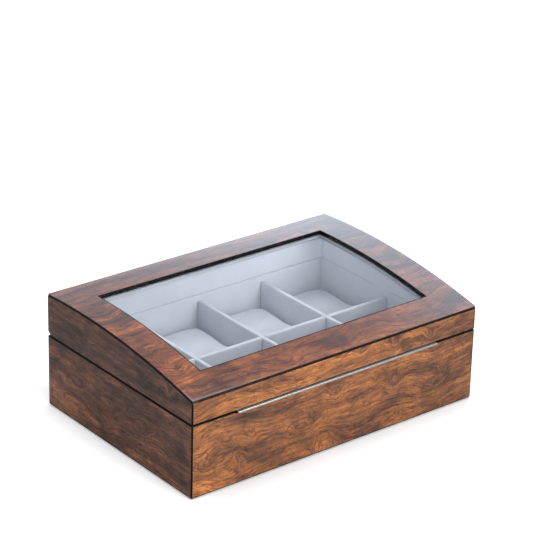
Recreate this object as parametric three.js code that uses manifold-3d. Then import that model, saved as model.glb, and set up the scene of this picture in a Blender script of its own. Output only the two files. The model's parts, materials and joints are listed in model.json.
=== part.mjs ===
// Watch box: a veneered wooden case with an arched, glazed lid on two small butt hinges,
// velvet linings, eight compartments and a soft pillow in each.
// Millimetres, +X to the right, +Y to the back, +Z up, origin at the middle of the underside.

import * as THREE from 'three';
import { mergeVertices } from 'three/addons/utils/BufferGeometryUtils.js';
import Module from 'manifold-3d';

// Outer case
const width = 305;
const depth = 205;
const partingHeight = 67; // plane between base and lid
const lidFrontHeight = 88.5; // top of the lid at its front edge
const lidBackHeight = 105.2; // top of the lid at its back edge
const topRadius = 700; // arch of the lid, bent about an axis along X
const wall = 9; // veneered boards
const gap = 0.3; // between pieces that meet at a cut or curved face
const mitreSetback = 0.2; // each board stops this short of the mitre line
const rimRelief = 0.15; // base and lid each stop this short of the parting plane

// Underside
const feltProud = 0.8; // felt stands below the walls
const feltThickness = 1.6;
const feltInset = 1; // felt stops this short of the walls
const bottomBoard = 5;

// Linings, dividers and pillows
const lining = 2.5; // velvet-covered board
const dividerThickness = 4;
const dividerTop = 61.5;
const columns = 4;
const rows = 2;
const pillowClearance = 2; // on each side of a pillow
const pillowHeight = 33;
const pillowCorner = 12;
const pillowShoulder = 8;
const pillowSteps = 3; // in each corner and shoulder

// Lid window
const windowWidth = 243;
const windowDepth = 143;
const topBoard = 6.6;
const windowLip = 3.5; // wood above the glass
const glassThickness = 2.5;
const glassLap = 5; // glass under the wood on each side
const ceilingLining = 2.5;
const ceilingSetback = 1; // the lining's window is larger than the wood's by this on each side

// Lift strip
const stripLength = 215;
const stripDepth = 8.5;
const stripThickness = 1.5;
const stripProud = 2.2;
const stripNotchEnd = 2; // room at each end of the strip
const stripScrewSpacing = 90;

// Hinges
const hingeOffset = 92; // from the middle of the box
const hingeLength = 38;
const knuckles = 5;
const knuckleGap = 0.3;
const barrelRadius = 2.75;
const barrelProud = 2.2; // same as the strip, so that the box stays centred
const leafThickness = 1.5;
const leafFront = 94.6; // inner edge of each leaf
const pinRadius = 1.2;
const boreRadius = 1.26;
const pinHeadRadius = 1.9;
const pinHeadLength = 1;
const pinHeadTaper = 0.7; // end of the head, as a share of its radius
const pinHeadClear = 0.1; // head to knuckle
const webOverlap = 1; // knuckle webs run this far into the plate
const hingeScrewSpacing = 12; // from the middle of the hinge
const hingeScrewY = 96.7;
const lidBevelDepth = 4.5; // clearance bevel on the lid's lower back edge
const lidBevelHeight = 4;
const baseBevel = 1.4;

// Countersunk screws
const screwHeadRadius = 1.7;
const screwShankRadius = 0.9;
const screwHeadRim = 0.2;
const screwHeadDepth = 0.9;
const screwLength = 9;
const screwTip = 1;
const screwHoleGap = 0.25;

const roundSides = 24;
const archSteps = 24;

// Places that follow from the driving dimensions
const halfWidth = width / 2;
const halfDepth = depth / 2;
const baseRim = partingHeight - rimRelief;
const lidRim = partingHeight + rimRelief;
const boardBottom = feltThickness;
const boardTop = boardBottom + bottomBoard;
const floorTop = boardTop + lining;
const insideX = halfWidth - wall; // inner faces of the wooden walls
const insideY = halfDepth - wall;
const linedX = insideX - lining; // inner faces of the linings
const linedY = insideY - lining;
const cellWidth = (2 * linedX - (columns - 1) * dividerThickness) / columns;
const cellDepth = (2 * linedY - (rows - 1) * dividerThickness) / rows;
const hingeY = halfDepth + barrelProud - barrelRadius;
const glassDepth = windowLip + gap; // from the top of the lid down to the glass
const ceilingDepth = topBoard + gap; // from the top of the lid down to the ceiling lining
const ceilingUnderside = ceilingDepth + ceilingLining;

// Centre of the arch, from its two ends and its radius
const chord = Math.hypot(depth, lidBackHeight - lidFrontHeight);
const chordToCentre = Math.sqrt(topRadius ** 2 - (chord / 2) ** 2);
const archY = (chordToCentre * (lidBackHeight - lidFrontHeight)) / chord;
const archZ = (lidFrontHeight + lidBackHeight) / 2 - (chordToCentre * depth) / chord;

const wasm = await Module();
wasm.setup();

const veneer = new THREE.MeshStandardMaterial({ color: 0x8a4f2c, roughness: 0.18, metalness: 0 });
const board = new THREE.MeshStandardMaterial({ color: 0x8d7355, roughness: 0.8, metalness: 0 });
const felt = new THREE.MeshStandardMaterial({ color: 0x26262a, roughness: 1, metalness: 0 });
const velvet = new THREE.MeshStandardMaterial({ color: 0xb4bac6, roughness: 1, metalness: 0 });
const cushion = new THREE.MeshStandardMaterial({ color: 0xbac0cb, roughness: 1, metalness: 0 });
const glass = new THREE.MeshStandardMaterial({
  color: 0xe8f0f2, roughness: 0.03, metalness: 0, transparent: true, opacity: 0.3,
});
const nickel = new THREE.MeshStandardMaterial({ color: 0xc9c8c4, roughness: 0.35, metalness: 1 });

const box = new THREE.Group();

function addPiece(name, material, geometry) {
  const mesh = new THREE.Mesh(geometry, material);
  mesh.name = name;
  box.add(mesh);
}

// Closed three.js geometry to a solid, and back
function toSolid(geometry) {
  const bare = geometry.clone();
  bare.deleteAttribute('normal');
  bare.deleteAttribute('uv');
  const merged = mergeVertices(bare);
  const mesh = new wasm.Mesh({
    numProp: 3,
    vertProperties: new Float32Array(merged.attributes.position.array),
    triVerts: new Uint32Array(merged.index.array),
  });
  return new wasm.Manifold(mesh);
}

function toGeometry(solid) {
  const mesh = solid.getMesh();
  const geometry = new THREE.BufferGeometry();
  geometry.setAttribute('position', new THREE.BufferAttribute(mesh.vertProperties, 3));
  geometry.setIndex(new THREE.BufferAttribute(mesh.triVerts, 1));
  geometry.computeVertexNormals();
  return geometry;
}

function cut(geometry, tools) {
  return toGeometry(tools.reduce((solid, tool) => solid.subtract(toSolid(tool)), toSolid(geometry)));
}

function join(geometries) {
  const [first, ...others] = geometries.map(toSolid);
  return toGeometry(others.reduce((solid, other) => solid.add(other), first));
}

function common(first, second) {
  return toGeometry(toSolid(first).intersect(toSolid(second)));
}

// Block between two corners
function block([x0, y0, z0], [x1, y1, z1]) {
  const geometry = new THREE.BoxGeometry(x1 - x0, y1 - y0, z1 - z0);
  return geometry.translate((x0 + x1) / 2, (y0 + y1) / 2, (z0 + z1) / 2);
}

function outline(points) {
  return new THREE.Shape(points.map(([u, v]) => new THREE.Vector2(u, v)));
}

// Plan outline in (x, y), carried up from z0 to z1
function upright(points, z0, z1) {
  const geometry = new THREE.ExtrudeGeometry(outline(points), { depth: z1 - z0, bevelEnabled: false });
  return geometry.translate(0, 0, z0);
}

// Side outline in (y, z), carried along X from x0 to x1
function alongX(points, x0, x1) {
  const geometry = new THREE.ExtrudeGeometry(outline(points), { depth: x1 - x0, bevelEnabled: false });
  const turn = new THREE.Matrix4().makeBasis(
    new THREE.Vector3(0, 1, 0), new THREE.Vector3(0, 0, 1), new THREE.Vector3(1, 0, 0),
  );
  return geometry.applyMatrix4(turn).translate(x0, 0, 0);
}

// Cylinder along X
function roundBar(radius, x0, x1, y, z) {
  const geometry = new THREE.CylinderGeometry(radius, radius, x1 - x0, roundSides);
  return geometry.rotateZ(-Math.PI / 2).translate((x0 + x1) / 2, y, z);
}

// Height of the arched surface that lies a given depth under the lid's top
function archHeight(y, below) {
  return archZ + Math.sqrt((topRadius - below) ** 2 - (y - archY) ** 2);
}

function archPoints(y0, y1, below) {
  return Array.from({ length: archSteps + 1 }, (_, i) => {
    const y = y0 + ((y1 - y0) * i) / archSteps;
    return [y, archHeight(y, below)];
  });
}

// Band between two depths under the lid's top
function archBand(y0, y1, upper, lower, halfX) {
  return alongX([...archPoints(y0, y1, lower), ...archPoints(y1, y0, upper)], -halfX, halfX);
}

// Plan of one wall board with mitred ends: 'front', 'back', 'left' or 'right'
function wallPlan(side) {
  const across = side === 'front' || side === 'back';
  const outerHalf = (across ? halfWidth : halfDepth) - mitreSetback;
  const face = across ? halfDepth : halfWidth;
  const sign = side === 'back' || side === 'right' ? 1 : -1;
  const points = [
    [-outerHalf, sign * face],
    [outerHalf, sign * face],
    [outerHalf - wall, sign * (face - wall)],
    [-outerHalf + wall, sign * (face - wall)],
  ];
  return across ? points : points.map(([along, out]) => [out, along]);
}

// Side outlines, in (y, z), of everything wooden in the base and in the lid
function baseOutline() {
  return [
    [-halfDepth, feltProud],
    [halfDepth, feltProud],
    [halfDepth, baseRim - baseBevel],
    [halfDepth - baseBevel, baseRim],
    [-halfDepth, baseRim],
  ];
}

function lidOutline() {
  return [
    [-halfDepth, lidRim],
    [halfDepth - lidBevelDepth, lidRim],
    [halfDepth, lidRim + lidBevelHeight],
    ...archPoints(halfDepth, -halfDepth, ceilingDepth),
  ];
}

function wallBoard(side, sideOutline) {
  const plan = upright(wallPlan(side), 0, lidBackHeight + wall);
  return common(alongX(sideOutline, -halfWidth, halfWidth), plan);
}

// Room that a hinge needs in the base's back board (up = -1) or in the lid's (up = 1)
function hingeRecess(x, up) {
  const half = hingeLength / 2 + pinHeadLength + gap;
  const past = halfDepth + wall;
  const open = partingHeight - up * wall;
  const leafFace = partingHeight + up * (rimRelief + leafThickness + gap);
  const barrelFace = partingHeight + up * (barrelRadius + gap);
  const barrelFront = hingeY - barrelRadius - gap;
  const between = (y, face) => block(
    [x - half, y, Math.min(open, face)],
    [x + half, past, Math.max(open, face)],
  );
  return [between(leafFront - gap, leafFace), between(barrelFront, barrelFace)];
}

// Countersunk screw with its head's face at z = 0 and its shank towards +Z
function screwProfile(extra) {
  const head = screwHeadRadius + extra;
  const shank = screwShankRadius + extra;
  const end = screwLength + extra;
  const points = [[0, -extra], [head, -extra], [head, screwHeadRim], [shank, screwHeadDepth + extra]];
  points.push([shank, end - screwTip], [0, end]);
  return points.map(([r, z]) => new THREE.Vector2(r, z));
}

function screw(x, y, z, up, extra = 0) {
  const geometry = new THREE.LatheGeometry(screwProfile(extra), roundSides / 2);
  geometry.rotateX(up > 0 ? Math.PI / 2 : -Math.PI / 2);
  return geometry.translate(x, y, z);
}

const hinges = [
  { name: 'hinge_left', x: -hingeOffset },
  { name: 'hinge_right', x: hingeOffset },
];
const sides = ['front', 'back', 'left', 'right'];

// Every screw of the box: where it is, which way it points and what it goes through
function leafScrews({ name, x }, holder) {
  const [z, up] = holder === 'base' ? [baseRim, -1] : [lidRim, 1];
  return [-1, 1].map((step, i) => ({
    name: `${name}_${holder}_screw_${i + 1}`,
    holder,
    hinge: name,
    place: [x + step * hingeScrewSpacing, hingeScrewY, z, up],
  }));
}
const hingeScrews = hinges.flatMap((hinge) => [...leafScrews(hinge, 'base'), ...leafScrews(hinge, 'lid')]);
const stripScrews = [-1, 0, 1].map((step, i) => ({
  name: `strip_screw_${i + 1}`,
  place: [step * stripScrewSpacing, -halfDepth + wall / 2, lidRim - stripThickness, 1],
}));

function screwHoles(screws) {
  return screws.map(({ place }) => screw(...place, screwHoleGap));
}

function makeBase() {
  const stripNotch = block(
    [-stripLength / 2 - stripNotchEnd, -halfDepth - wall, lidRim - stripThickness - gap],
    [stripLength / 2 + stripNotchEnd, -halfDepth - stripProud + stripDepth + gap, baseRim + wall],
  );
  const backCuts = [
    ...hinges.flatMap(({ x }) => hingeRecess(x, -1)),
    ...screwHoles(hingeScrews.filter(({ holder }) => holder === 'base')),
  ];
  const cuts = { front: [stripNotch, ...screwHoles(stripScrews)], back: backCuts, left: [], right: [] };
  for (const side of sides) {
    addPiece(`base_${side}_panel`, veneer, cut(wallBoard(side, baseOutline()), cuts[side]));
  }
  addPiece('base_bottom_board', board, block(
    [-insideX, -insideY, boardBottom],
    [insideX, insideY, boardTop],
  ));
  addPiece('base_felt_pad', felt, block(
    [-insideX + feltInset, -insideY + feltInset, 0],
    [insideX - feltInset, insideY - feltInset, feltThickness],
  ));
}

// Four lining boards that stand against the walls; the side ones run between the other two
function liningBoards(part, z0, topOf) {
  for (const side of ['front', 'back']) {
    const sign = side === 'back' ? 1 : -1;
    const [y0, y1] = [sign * linedY, sign * insideY].sort((a, b) => a - b);
    const points = [[y0, z0], [y1, z0], [y1, topOf(y1)], [y0, topOf(y0)]];
    addPiece(`${part}_lining_${side}`, velvet, alongX(points, -insideX, insideX));
  }
  for (const side of ['left', 'right']) {
    const [x0, x1] = side === 'left' ? [-insideX, -linedX] : [linedX, insideX];
    const top = archPoints(linedY, -linedY, 0).map(([y]) => [y, topOf(y)]);
    addPiece(`${part}_lining_${side}`, velvet, alongX([[-linedY, z0], [linedY, z0], ...top], x0, x1));
  }
}

function makeBaseLining() {
  addPiece('base_lining_floor', velvet, block([-insideX, -insideY, boardTop], [insideX, insideY, floorTop]));
  liningBoards('base', floorTop, () => baseRim);
}

// Half-lapped dividers: the long one is slotted from above, the cross ones from below
function makeDividers() {
  const half = dividerThickness / 2;
  const middle = (floorTop + dividerTop) / 2;
  const slot = half + gap;
  const pitch = cellWidth + dividerThickness;
  const crossings = Array.from({ length: columns - 1 }, (_, i) => (i + 1 - columns / 2) * pitch);
  const longBoard = block([-linedX + gap, -half, floorTop], [linedX - gap, half, dividerTop]);
  const past = dividerTop + wall;
  const longSlots = crossings.map((x) => block([x - slot, -slot, middle], [x + slot, slot, past]));
  addPiece('long_divider', velvet, cut(longBoard, longSlots));
  crossings.forEach((x, i) => {
    const crossBoard = block([x - half, -linedY + gap, floorTop], [x + half, linedY - gap, dividerTop]);
    const crossSlot = block([x - slot, -slot, floorTop - wall], [x + slot, slot, middle + gap]);
    addPiece(`cross_divider_${i + 1}`, velvet, cut(crossBoard, [crossSlot]));
  });
}

// Soft block with rounded corners and shoulders
function pillow(x, y) {
  const halfX = cellWidth / 2 - pillowClearance - pillowShoulder;
  const halfY = cellDepth / 2 - pillowClearance - pillowShoulder;
  const corner = pillowCorner - pillowShoulder;
  const shape = new THREE.Shape();
  shape.moveTo(-halfX + corner, -halfY);
  shape.lineTo(halfX - corner, -halfY);
  shape.absarc(halfX - corner, -halfY + corner, corner, -Math.PI / 2, 0);
  shape.lineTo(halfX, halfY - corner);
  shape.absarc(halfX - corner, halfY - corner, corner, 0, Math.PI / 2);
  shape.lineTo(-halfX + corner, halfY);
  shape.absarc(-halfX + corner, halfY - corner, corner, Math.PI / 2, Math.PI);
  shape.lineTo(-halfX, -halfY + corner);
  shape.absarc(-halfX + corner, -halfY + corner, corner, Math.PI, Math.PI * 1.5);
  const geometry = new THREE.ExtrudeGeometry(shape, {
    depth: pillowHeight - 2 * pillowShoulder,
    bevelSize: pillowShoulder,
    bevelThickness: pillowShoulder,
    bevelSegments: pillowSteps,
    curveSegments: pillowSteps,
  });
  return geometry.translate(x, y, floorTop + pillowShoulder);
}

function makePillows() {
  for (let row = 0; row < rows; row += 1) {
    for (let column = 0; column < columns; column += 1) {
      const x = (column - (columns - 1) / 2) * (cellWidth + dividerThickness);
      const y = (row - (rows - 1) / 2) * (cellDepth + dividerThickness);
      addPiece(`pillow_${row * columns + column + 1}`, cushion, pillow(x, y));
    }
  }
}

function makeLid() {
  const backCuts = [
    ...hinges.flatMap(({ x }) => hingeRecess(x, 1)),
    ...screwHoles(hingeScrews.filter(({ holder }) => holder === 'lid')),
  ];
  const cuts = { front: screwHoles(stripScrews), back: backCuts, left: [], right: [] };
  for (const side of sides) {
    addPiece(`lid_${side}_panel`, veneer, cut(wallBoard(side, lidOutline()), cuts[side]));
  }

  const past = windowDepth / 2 + glassLap + gap;
  const opening = block(
    [-windowWidth / 2, -windowDepth / 2, partingHeight],
    [windowWidth / 2, windowDepth / 2, lidBackHeight + wall],
  );
  const rebate = archBand(-past, past, windowLip, topBoard + wall, windowWidth / 2 + glassLap + gap);
  const top = archBand(-halfDepth, halfDepth, 0, topBoard, halfWidth);
  addPiece('lid_top_frame', veneer, cut(top, [opening, rebate]));

  const paneY = windowDepth / 2 + glassLap;
  const paneX = windowWidth / 2 + glassLap;
  addPiece('glass_pane', glass, archBand(-paneY, paneY, glassDepth, glassDepth + glassThickness, paneX));
}

// Velvet frame under the top; its window is a little larger than the one in the wood
function makeLidLining() {
  const openX = windowWidth / 2 + ceilingSetback;
  const openY = windowDepth / 2 + ceilingSetback;
  const ceiling = archBand(-insideY + gap, insideY - gap, ceilingDepth, ceilingUnderside, insideX - gap);
  const opening = block(
    [-openX, -openY, partingHeight],
    [openX, openY, lidBackHeight + wall],
  );
  addPiece('lid_lining_ceiling', velvet, cut(ceiling, [opening]));
  liningBoards('lid', lidRim, (y) => archHeight(y, ceilingUnderside + gap));
}

function makeLiftStrip() {
  const front = -halfDepth - stripProud;
  const strip = block(
    [-stripLength / 2, front, lidRim - stripThickness],
    [stripLength / 2, front + stripDepth, lidRim],
  );
  addPiece('lift_strip', nickel, cut(strip, screwHoles(stripScrews)));
  for (const { name, place } of stripScrews) addPiece(name, nickel, screw(...place));
}

// One leaf: a plate, its own knuckles, the webs that carry them, and the bore for the pin
function hingeLeaf(x, holder, screws) {
  const up = holder === 'base' ? -1 : 1;
  const faces = [partingHeight + up * rimRelief, partingHeight + up * (rimRelief + leafThickness)];
  const [z0, z1] = faces.sort((a, b) => a - b);
  const start = x - hingeLength / 2;
  const pitch = (hingeLength + knuckleGap) / knuckles;
  const first = holder === 'base' ? 0 : 1;
  const own = Array.from({ length: Math.ceil((knuckles - first) / 2) }, (_, i) => first + 2 * i);
  const plateBack = hingeY - barrelRadius - gap;
  const parts = [block([start, leafFront, z0], [start + hingeLength, plateBack, z1])];
  for (const i of own) {
    const x0 = start + i * pitch;
    const x1 = x0 + pitch - knuckleGap;
    parts.push(block([x0, plateBack - webOverlap, z0], [x1, hingeY, z1]));
    parts.push(roundBar(barrelRadius, x0, x1, hingeY, partingHeight));
  }
  const bore = roundBar(boreRadius, start - wall, start + hingeLength + wall, hingeY, partingHeight);
  return cut(join(parts), [bore, ...screwHoles(screws)]);
}

function hingePin(x) {
  const half = hingeLength / 2;
  const profile = [
    [0, -half - pinHeadLength],
    [pinHeadRadius * pinHeadTaper, -half - pinHeadLength],
    [pinHeadRadius, -half - pinHeadClear - pinHeadLength / 2],
    [pinHeadRadius, -half - pinHeadClear],
    [pinRadius, -half - pinHeadClear],
  ];
  const mirrored = profile.map(([r, z]) => [r, -z]).reverse();
  const points = [...profile, ...mirrored].map(([r, z]) => new THREE.Vector2(r, z));
  const geometry = new THREE.LatheGeometry(points, roundSides);
  return geometry.rotateZ(-Math.PI / 2).translate(x, hingeY, partingHeight);
}

function makeHinges() {
  for (const { name, x } of hinges) {
    for (const holder of ['base', 'lid']) {
      const own = hingeScrews.filter((item) => item.hinge === name && item.holder === holder);
      addPiece(`${name}_${holder}_leaf`, nickel, hingeLeaf(x, holder, own));
      for (const item of own) addPiece(item.name, nickel, screw(...item.place));
    }
    addPiece(`${name}_pin`, nickel, hingePin(x));
  }
}

makeBase();
makeBaseLining();
makeDividers();
makePillows();
makeLid();
makeLidLining();
makeLiftStrip();
makeHinges();

export default box;
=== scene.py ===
# Looks of a walnut-burl watch box: lacquered veneer, curved glass, velvet compartments and cushions.
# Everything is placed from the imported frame; lengths in the dictionaries below are millimetres.
import json
from math import cos, pi, radians, sin, sqrt

import bmesh
import bpy
import numpy as np
from mathutils import Matrix, Vector

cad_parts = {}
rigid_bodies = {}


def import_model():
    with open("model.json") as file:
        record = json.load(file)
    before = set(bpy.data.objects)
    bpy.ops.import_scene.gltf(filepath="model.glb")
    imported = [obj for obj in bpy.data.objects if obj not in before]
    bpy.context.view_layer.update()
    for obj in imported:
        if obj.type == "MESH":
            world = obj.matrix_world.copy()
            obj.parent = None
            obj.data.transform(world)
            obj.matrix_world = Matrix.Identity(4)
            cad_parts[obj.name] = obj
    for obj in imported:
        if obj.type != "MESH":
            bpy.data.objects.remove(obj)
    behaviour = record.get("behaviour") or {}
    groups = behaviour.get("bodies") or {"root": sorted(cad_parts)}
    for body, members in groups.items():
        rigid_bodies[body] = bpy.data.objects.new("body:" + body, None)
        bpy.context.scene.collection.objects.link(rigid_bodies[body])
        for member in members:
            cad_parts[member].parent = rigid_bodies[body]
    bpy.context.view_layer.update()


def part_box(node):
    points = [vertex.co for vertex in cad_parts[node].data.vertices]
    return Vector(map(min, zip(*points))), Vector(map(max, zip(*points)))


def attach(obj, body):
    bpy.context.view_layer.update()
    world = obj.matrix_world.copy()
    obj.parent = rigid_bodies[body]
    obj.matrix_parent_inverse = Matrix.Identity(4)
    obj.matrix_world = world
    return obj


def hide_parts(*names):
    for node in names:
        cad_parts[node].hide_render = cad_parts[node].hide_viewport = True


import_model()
mm = 0.001
scene = bpy.context.scene


def nodeBox(name):
    # lowest and highest corner of a CAD node, in millimetres
    low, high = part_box(name)
    return np.array(low) / mm, np.array(high) / mm


# the case's driving sizes, read back from the frame
sideLow, sideHigh = nodeBox("base_left_panel")
glassLow, glassHigh = nodeBox("glass_pane")
halfWidth, halfDepth = nodeBox("lid_top_frame")[1][:2]
wall = sideHigh[0] - sideLow[0]
insideX = halfWidth - wall
insideY = halfDepth - wall
baseRim = sideHigh[2]
lidRim = nodeBox("lid_left_panel")[0][2]
parting = (baseRim + lidRim) / 2
print("case", 2 * halfWidth, 2 * halfDepth, "parting at", parting)

# the lid's arch: a circle in the side view, bent about an axis along X
arch = {"radius": 700.0, "front": 88.5, "back": 105.2}
rise = arch["back"] - arch["front"]
archChord = sqrt((2 * halfDepth) ** 2 + rise ** 2)
archReach = sqrt(arch["radius"] ** 2 - archChord ** 2 / 4)
archY = archReach * rise / archChord
archZ = (arch["front"] + arch["back"]) / 2 - archReach * 2 * halfDepth / archChord


def archHeight(y, below=0.0):
    # circle of the arch radius less the depth below the top, at this y
    return archZ + np.sqrt((arch["radius"] - below) ** 2 - (np.asarray(y, float) - archY) ** 2)


fit = {"gap": 0.3, "glassLap": 5.0, "glassThick": 2.5, "ceilThick": 2.5}
window = {"halfX": glassHigh[0] - fit["glassLap"], "halfY": glassHigh[1] - fit["glassLap"],
          "lip": 3.5, "board": 6.6, "rebate": fit["glassLap"] + fit["gap"]}
glassDepth = window["lip"] + fit["gap"]
ceilDepth = window["board"] + fit["gap"]
ceilUnder = ceilDepth + fit["ceilThick"]


def addMesh(name, points, faces, materials, faceSlots=None, sharp=35.0, merge=0.0005):
    # points in millimetres, faces as lists of indices; doubles merged, normals outward
    mesh = bpy.data.meshes.new(name)
    mesh.from_pydata((np.asarray(points, float) * mm).tolist(), [], faces)
    for material in materials:
        mesh.materials.append(material)
    if faceSlots is not None:
        mesh.polygons.foreach_set("material_index", np.asarray(faceSlots, np.int32))
    work = bmesh.new()
    work.from_mesh(mesh)
    bmesh.ops.remove_doubles(work, verts=work.verts, dist=merge * mm)
    bmesh.ops.dissolve_degenerate(work, edges=work.edges, dist=merge * mm)
    bmesh.ops.recalc_face_normals(work, faces=work.faces)
    work.to_mesh(mesh)
    work.free()
    mesh.shade_smooth()
    mesh.set_sharp_from_angle(angle=radians(sharp))
    piece = bpy.data.objects.new(name, mesh)
    scene.collection.objects.link(piece)
    return piece


def gridFaces(rows, cols, closeRows=False, closeCols=False):
    # quads between neighbouring rows and columns of a grid of points
    i = np.arange(rows if closeRows else rows - 1)[:, None]
    j = np.arange(cols if closeCols else cols - 1)[None, :]
    ni, nj = (i + 1) % rows, (j + 1) % cols
    quads = np.stack([i * cols + j, i * cols + nj, ni * cols + nj, ni * cols + j], axis=-1)
    return quads.reshape(-1, 4)


def quarterArc(radius, steps):
    # quarter circle from (radius, 0) to (0, radius) about (radius, radius)
    turn = np.linspace(0, pi / 2, steps)
    return radius - radius * np.sin(turn), radius - radius * np.cos(turn)


def finish(piece, body, slot, *nodes):
    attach(piece, body)
    if nodes:
        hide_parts(*nodes)
    return piece


def addBevel(piece, width, segments=3, angle=40.0):
    bevel = piece.modifiers.new("softEdges", "BEVEL")
    bevel.width = width * mm
    bevel.segments = segments
    bevel.limit_method = "ANGLE"
    bevel.angle_limit = radians(angle)
    bevel.harden_normals = False
    return bevel


def applyModifiers(piece):
    bpy.context.view_layer.update()
    graph = bpy.context.evaluated_depsgraph_get()
    done = bpy.data.meshes.new_from_object(piece.evaluated_get(graph))
    piece.modifiers.clear()
    piece.data = done
    return piece


def addNode(tree, kind, sockets=None, **settings):
    # sockets: name or number -> value, or an output socket to link
    made = tree.nodes.new(kind)
    for key, value in settings.items():
        setattr(made, key, value)
    for key, value in (sockets or {}).items():
        if isinstance(value, bpy.types.NodeSocket):
            tree.links.new(value, made.inputs[key])
        else:
            made.inputs[key].default_value = value
    return made


def mathNode(tree, operation, first, second=0.0, third=0.0):
    return addNode(tree, "ShaderNodeMath", {0: first, 1: second, 2: third}, operation=operation).outputs[0]


def times(tree, first, second):
    return mathNode(tree, "MULTIPLY", first, second)


def vectorNode(tree, operation, first, second=(0, 0, 0)):
    made = addNode(tree, "ShaderNodeVectorMath", {0: first, 1: second}, operation=operation)
    return made.outputs["Value" if operation in ("LENGTH", "DOT_PRODUCT", "DISTANCE") else "Vector"]


def scaleNode(tree, vector, factor):
    made = addNode(tree, "ShaderNodeVectorMath", {0: vector, "Scale": factor}, operation="SCALE")
    return made.outputs["Vector"]


def noiseNode(tree, vector, scale, detail=2.0, roughness=0.5, distortion=0.0):
    return addNode(tree, "ShaderNodeTexNoise", {
        "Vector": vector, "Scale": scale, "Detail": detail,
        "Roughness": roughness, "Distortion": distortion})


def rampNode(tree, value, stops, smooth=False):
    ramp = addNode(tree, "ShaderNodeValToRGB", {0: value})
    ramp.color_ramp.interpolation = "B_SPLINE" if smooth else "LINEAR"
    elements = ramp.color_ramp.elements
    while len(elements) > 1:
        elements.remove(elements[-1])
    elements[0].position, elements[0].color = stops[0][0], (*stops[0][1], 1)
    for place, colour in stops[1:]:
        elements.new(place).color = (*colour, 1)
    return ramp.outputs["Color"]


def mixColours(tree, factor, first, second, blend="MIX"):
    mix = addNode(tree, "ShaderNodeMix", {0: factor, 6: first, 7: second},
                  data_type="RGBA", blend_type=blend)
    return mix.outputs[2]


def spread(tree, value, low, high, newLow=0.0, newHigh=1.0, kind="LINEAR"):
    return addNode(tree, "ShaderNodeMapRange", {0: value, 1: low, 2: high, 3: newLow, 4: newHigh},
                   interpolation_type=kind).outputs[0]


def newGroup(name, inputs, outputs):
    # shader node group with named sockets; returns the group and its two end nodes
    group = bpy.data.node_groups.new(name, "ShaderNodeTree")
    kinds = {"vector": "NodeSocketVector", "value": "NodeSocketFloat", "colour": "NodeSocketColor"}
    for label, kind, default in inputs:
        socket = group.interface.new_socket(label, in_out="INPUT", socket_type=kinds[kind])
        if default is not None:
            socket.default_value = default
    for label, kind in outputs:
        group.interface.new_socket(label, in_out="OUTPUT", socket_type=kinds[kind])
    return group, group.nodes.new("NodeGroupInput"), group.nodes.new("NodeGroupOutput")


def useGroup(tree, group, sockets):
    return addNode(tree, "ShaderNodeGroup", sockets, node_tree=group)


def newMaterial(name, colour, roughness, **extra):
    # Principled material; returns it with its tree, shader and object coordinates in millimetres
    material = bpy.data.materials.new(name)
    material.use_nodes = True
    tree = material.node_tree
    shader = tree.nodes["Principled BSDF"]
    shader.inputs["Base Color"].default_value = (*colour, 1)
    shader.inputs["Roughness"].default_value = roughness
    for key, value in extra.items():
        shader.inputs[key].default_value = value
    place = addNode(tree, "ShaderNodeTexCoord").outputs["Object"]
    return material, tree, shader, scaleNode(tree, place, 1000.0)


def bumpInto(tree, shader, height, strength, distance, target="Normal"):
    bump = addNode(tree, "ShaderNodeBump", {
        "Height": height, "Strength": strength, "Distance": distance * mm})
    tree.links.new(bump.outputs[0], shader.inputs[target])


def knotGroup():
    # bell-shaped swelling of the grain: lift * exp(-(distance / size)^2), distances stretched per axis
    group, start, end = newGroup("grainKnot", [
        ("Place", "vector", None), ("Centre", "vector", None), ("Size", "vector", (8, 8, 8)),
        ("Lift", "value", 10.0), ("Sum", "value", 0.0)], [("Sum", "value")])
    away = vectorNode(group, "SUBTRACT", start.outputs["Place"], start.outputs["Centre"])
    scaled = vectorNode(group, "DIVIDE", away, start.outputs["Size"])
    square = vectorNode(group, "DOT_PRODUCT", scaled, scaled)
    bell = mathNode(group, "EXPONENT", times(group, square, -1.0))
    total = mathNode(group, "MULTIPLY_ADD", bell, start.outputs["Lift"], start.outputs["Sum"])
    group.links.new(total, end.inputs["Sum"])
    return group


def warpGroup():
    # two noise warps push the place about, wide wandering first and tight curls after it
    group, start, end = newGroup("grainWarp", [
        ("Place", "vector", None), ("Shift", "vector", (0, 0, 0)),
        ("Wander", "value", 22.0), ("Curl", "value", 5.0)], [("Place", "vector")])
    half = (0.5, 0.5, 0.5)
    moved = vectorNode(group, "ADD", start.outputs["Place"], start.outputs["Shift"])
    wide = vectorNode(group, "SUBTRACT", noiseNode(group, moved, 1 / 75, 1.0, 0.5).outputs["Color"], half)
    wide = scaleNode(group, wide, start.outputs["Wander"])
    bent = vectorNode(group, "ADD", moved, wide)
    tight = vectorNode(group, "SUBTRACT", noiseNode(group, bent, 1 / 15, 2.0, 0.5).outputs["Color"], half)
    push = vectorNode(group, "ADD", wide, scaleNode(group, tight, start.outputs["Curl"]))
    group.links.new(vectorNode(group, "ADD", start.outputs["Place"], push), end.inputs["Place"])
    return group


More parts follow.
